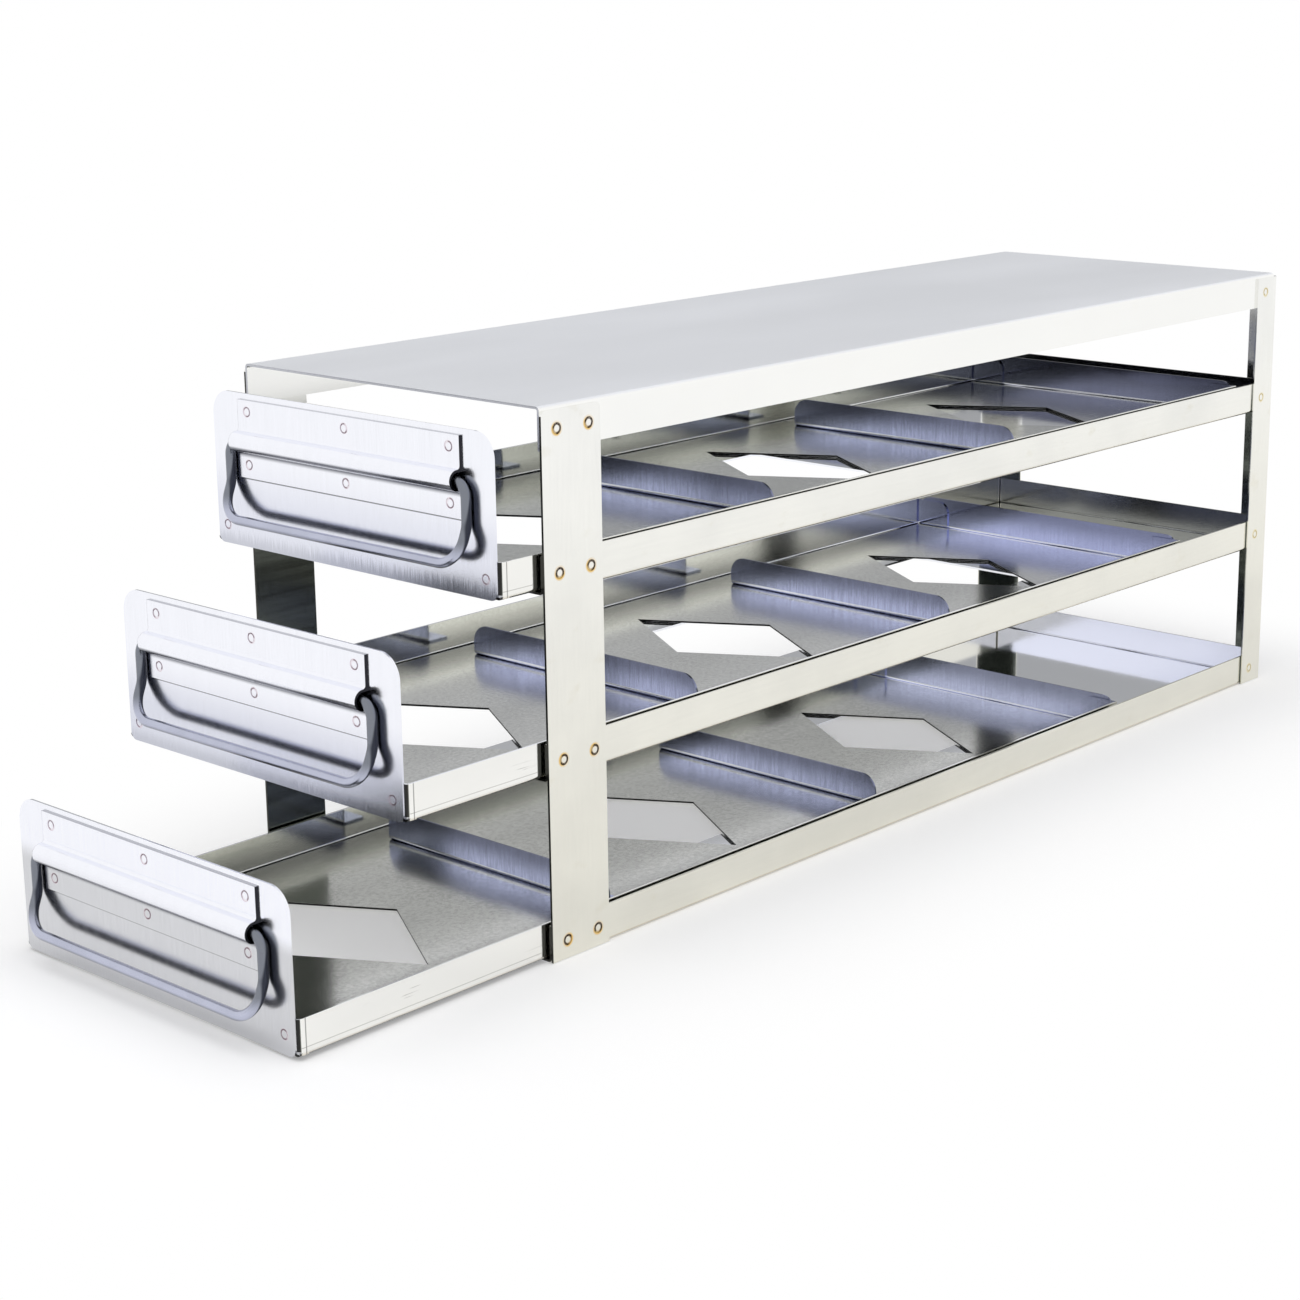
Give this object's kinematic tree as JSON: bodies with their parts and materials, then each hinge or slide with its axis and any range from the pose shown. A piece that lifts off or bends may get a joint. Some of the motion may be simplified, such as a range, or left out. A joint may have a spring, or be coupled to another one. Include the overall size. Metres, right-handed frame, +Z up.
{
  "type": "freezer drawer rack",
  "caption": "Folded sheet steel rack for a freezer, with sliding drawers that are divided for flat storage boxes and pulled by wire bail handles.",
  "frame": {"origin": "on the underside of the rack, in the middle of its width and of its depth without the drawers, on the bottom shelf's crossbar", "axes": "+X across the rack to the right seen from the front, +Y from the front to the back, +Z up"},
  "size_m": [0.14, 0.5444, 0.1764],
  "materials": {
    "frame_steel": "cold rolled stainless steel sheet, dull and slightly warm",
    "plate_steel": "stainless steel sheet brushed from top to bottom",
    "tray_steel": "cold rolled stainless steel sheet, half bright",
    "wire_steel": "drawn steel wire, dull grey"
  },
  "bodies": {
    "rack": {"top_panel": "frame_steel", "post_front_left": "frame_steel", "post_front_right": "frame_steel", "post_rear_left": "frame_steel", "post_rear_right": "frame_steel", "shelf_bottom": "frame_steel", "shelf_middle": "frame_steel", "shelf_top": "frame_steel"},
    "drawer_bottom": {"drawer_tray_bottom": "tray_steel", "front_plate_bottom": "plate_steel", "divider_front_bottom": "tray_steel", "divider_rear_bottom": "tray_steel", "handle_clip_bottom": "plate_steel"},
    "bail_bottom": {"bail_handle_bottom": "wire_steel"},
    "drawer_middle": {"drawer_tray_middle": "tray_steel", "front_plate_middle": "plate_steel", "divider_front_middle": "tray_steel", "divider_rear_middle": "tray_steel", "handle_clip_middle": "plate_steel"},
    "bail_middle": {"bail_handle_middle": "wire_steel"},
    "drawer_top": {"drawer_tray_top": "tray_steel", "front_plate_top": "plate_steel", "divider_front_top": "tray_steel", "divider_rear_top": "tray_steel", "handle_clip_top": "plate_steel"},
    "bail_top": {"bail_handle_top": "wire_steel"}
  },
  "joints": [
    {"name": "drawer_bottom_slide", "type": "slide", "parent": "rack", "child": "drawer_bottom", "axis": [0, -1, 0], "range_m": [-0.0994, 0.2206]},
    {"name": "bail_bottom_swing", "type": "hinge", "parent": "drawer_bottom", "child": "bail_bottom", "pos_m": [0, -0.3203, 0.0362], "axis": [-1, 0, 0], "range_deg": [0, 120]},
    {"name": "drawer_middle_slide", "type": "slide", "parent": "rack", "child": "drawer_middle", "axis": [0, -1, 0], "range_m": [-0.0553, 0.2647]},
    {"name": "bail_middle_swing", "type": "hinge", "parent": "drawer_middle", "child": "bail_middle", "pos_m": [0, -0.2762, 0.0955], "axis": [-1, 0, 0], "range_deg": [0, 120]},
    {"name": "drawer_top_slide", "type": "slide", "parent": "rack", "child": "drawer_top", "axis": [0, -1, 0], "range_m": [-0.0153, 0.3047]},
    {"name": "bail_top_swing", "type": "hinge", "parent": "drawer_top", "child": "bail_top", "pos_m": [0, -0.2362, 0.1548], "axis": [-1, 0, 0], "range_deg": [0, 120]}
  ]
}
